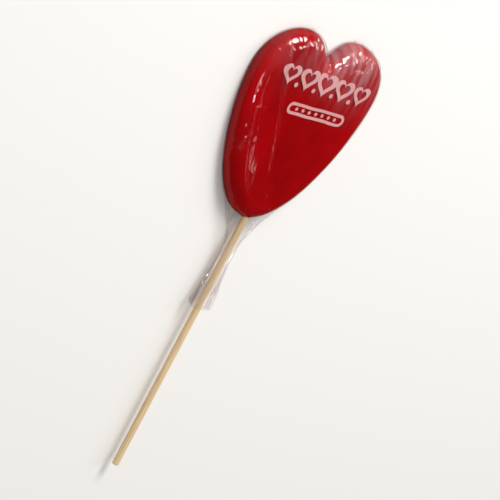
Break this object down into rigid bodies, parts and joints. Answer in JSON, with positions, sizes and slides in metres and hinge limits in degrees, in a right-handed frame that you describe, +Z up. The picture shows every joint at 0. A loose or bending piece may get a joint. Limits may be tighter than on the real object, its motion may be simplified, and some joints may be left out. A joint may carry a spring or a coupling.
{
  "type": "lollipop",
  "caption": "Large flat heart-shaped hard candy lollipop on a thin wooden stick, sealed in clear film that gathers below the tip into a pleated sleeve.",
  "frame": {"origin": "centre of the whole lollipop's outline on the surface it lies on", "axes": "+Z up out of the shown face, +Y along the stick towards the heart's lobes, +X to the right of the shown face"},
  "size_m": [0.087, 0.247, 0.012],
  "materials": {
    "hard_candy": "glossy deep red boiled sugar under clear film",
    "clear_film": "thin clear glossy film, creased",
    "film_print": "pale translucent ink on film",
    "birch_stick": "plain unvarnished birch dowel"
  },
  "bodies": {
    "root": {"wrapped_heart": "hard_candy", "stick": "birch_stick"}
  },
  "joints": []
}
